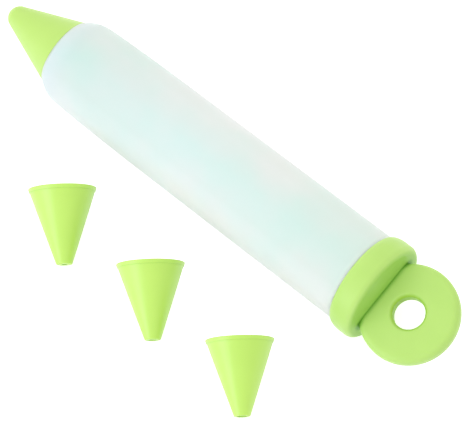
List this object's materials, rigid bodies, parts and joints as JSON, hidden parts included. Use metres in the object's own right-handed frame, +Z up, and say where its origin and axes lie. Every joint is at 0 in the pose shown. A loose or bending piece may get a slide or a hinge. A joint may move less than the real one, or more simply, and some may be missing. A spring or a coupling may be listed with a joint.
{
  "type": "cake decorating syringe",
  "caption": "Soft silicone squeeze pen for piping icing, with a conical nozzle, a pull-out ring stopper and loose spare nozzles.",
  "frame": {"origin": "on the surface that the set lies on, under the middle of the whole set's box", "axes": "+X along the pen from its nozzle to its pull ring, +Z up; the loose nozzles lie on the -Y side"},
  "size_m": [0.1636, 0.0662, 0.0307],
  "materials": {
    "frosted_silicone": "translucent frosted silicone, satin",
    "lime_silicone": "opaque satin silicone"
  },
  "bodies": {
    "tube": {"squeeze_tube": "frosted_silicone"},
    "stopper": {"end_stopper": "lime_silicone"},
    "nozzle": {"fitted_nozzle": "lime_silicone"},
    "spare_1": {"spare_nozzle_1": "lime_silicone"},
    "spare_2": {"spare_nozzle_2": "lime_silicone"},
    "spare_3": {"spare_nozzle_3": "lime_silicone"}
  },
  "joints": [
    {"name": "stopper_pull", "type": "slide", "parent": "tube", "child": "stopper", "axis": [0.9998, 0, 0.0199], "range_m": [0, 0.03]},
    {"name": "nozzle_pull", "type": "slide", "parent": "tube", "child": "nozzle", "axis": [-0.9998, 0, -0.0199], "range_m": [0, 0.02]},
    {"name": "spare_1_lift", "type": "slide", "parent": "tube", "child": "spare_1", "axis": [0, 0, 1], "range_m": [0, 0.05]},
    {"name": "spare_2_lift", "type": "slide", "parent": "tube", "child": "spare_2", "axis": [0, 0, 1], "range_m": [0, 0.05]},
    {"name": "spare_3_lift", "type": "slide", "parent": "tube", "child": "spare_3", "axis": [0, 0, 1], "range_m": [0, 0.05]}
  ]
}
